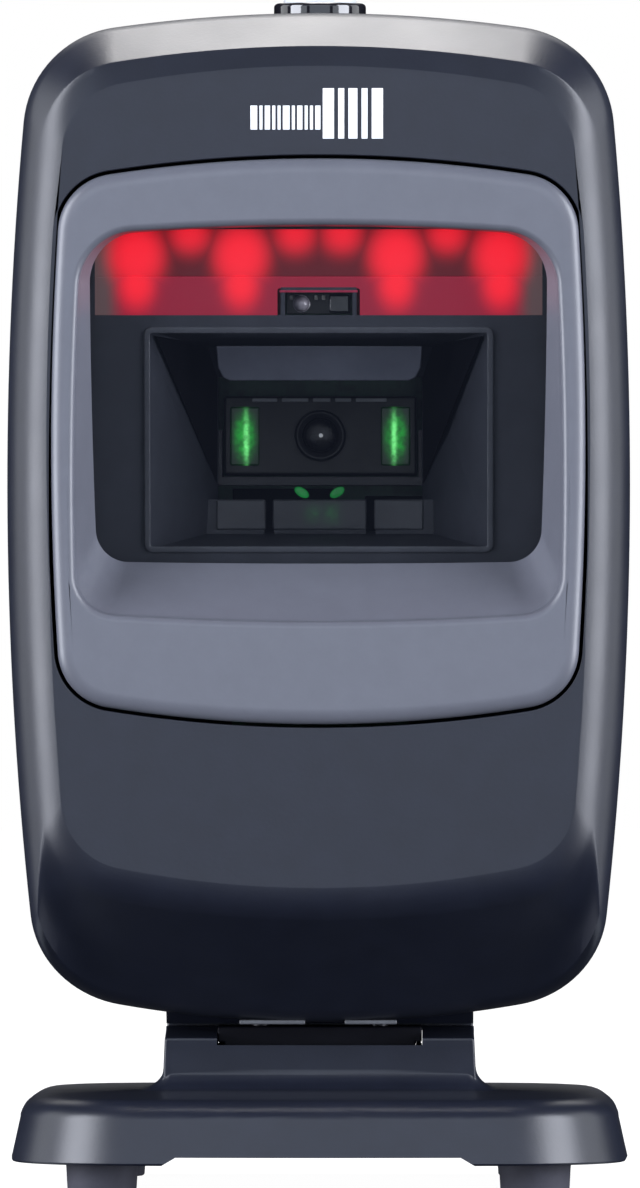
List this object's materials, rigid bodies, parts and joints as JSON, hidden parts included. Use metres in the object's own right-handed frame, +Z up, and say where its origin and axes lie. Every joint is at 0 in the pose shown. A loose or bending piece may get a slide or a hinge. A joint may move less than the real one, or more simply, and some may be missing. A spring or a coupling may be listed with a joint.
{
  "type": "desktop barcode scanner",
  "caption": "Upright hands-free barcode scanner: deep window with red lights and camera engine, touch key on top, head tilting on a weighted base.",
  "frame": {"origin": "on the resting plane, under the middle of the base", "axes": "+Z up, -Y the way the window faces, +X to the right of someone facing the window"},
  "size_m": [0.083, 0.0802, 0.1608],
  "materials": {
    "housing": "fine matte grain, dark blue-grey",
    "bezel": "satin grey",
    "window": "clear, lightly tinted, polished",
    "foam": "closed-cell foam, matte",
    "chassis": "black, matte",
    "diffuser": "frosted, lit red from behind",
    "red_lamp": "clear dome, lit red",
    "green_lens": "clear lens, lit green",
    "clear_lens": "clear moulded lens",
    "dark_glass": "near black, polished",
    "board": "green solder mask",
    "steel": "zinc plated",
    "screw": "black oxide",
    "nylon": "natural nylon",
    "rubber": "matte",
    "ballast": "raw sheet steel",
    "gloss_trim": "piano black",
    "key": "milky translucent"
  },
  "bodies": {
    "stand": {"stand_shell": "housing", "hinge_cap_left": "housing", "hinge_cap_right": "housing", "hinge_pin": "steel", "hinge_bush_left": "nylon", "hinge_bush_right": "nylon", "friction_washer_left": "nylon", "friction_washer_right": "nylon", "base_plate": "steel", "ballast_plate": "ballast", "rubber_foot_1": "rubber", "rubber_foot_2": "rubber", "rubber_foot_3": "rubber", "rubber_foot_4": "rubber", "base_screw_1": "screw", "base_screw_2": "screw", "base_screw_3": "screw", "base_screw_4": "screw"},
    "head": {"front_housing": "housing", "rear_housing": "housing", "window_bezel": "bezel", "scan_window": "window", "window_gasket": "foam", "optical_chassis": "chassis", "light_diffuser": "diffuser", "led_board": "board", "main_led_1": "red_lamp", "main_led_2": "red_lamp", "main_led_3": "red_lamp", "main_led_4": "red_lamp", "fill_led_1": "red_lamp", "fill_led_2": "red_lamp", "fill_led_3": "red_lamp", "fill_led_4": "red_lamp", "sensor_board": "board", "ir_emitter": "clear_lens", "ir_receiver": "dark_glass", "engine_bracket": "steel", "engine_body": "chassis", "lens_barrel": "chassis", "camera_lens": "dark_glass", "engine_board": "board", "aimer_lens_left": "green_lens", "aimer_lens_right": "green_lens", "main_board": "board", "socket_board": "board", "cable_socket": "chassis", "key_board": "board", "tact_switch": "steel", "beeper": "chassis", "key_ring": "gloss_trim", "housing_screw_1": "screw", "housing_screw_2": "screw", "housing_screw_3": "screw", "housing_screw_4": "screw", "hinge_block": "chassis", "block_screw_1": "screw", "block_screw_2": "screw"},
    "key": {"touch_key": "key", "switch_plunger": "rubber"}
  },
  "joints": [
    {"name": "head_tilt", "type": "hinge", "parent": "stand", "child": "head", "pos_m": [0, 0, 0.0142], "axis": [-1, 0, 0], "range_deg": [-10, 30]},
    {"name": "key_press", "type": "slide", "parent": "head", "child": "key", "axis": [0, 0, -1], "range_m": [0, 0.0005], "stiffness_N_per_m": 1500}
  ]
}
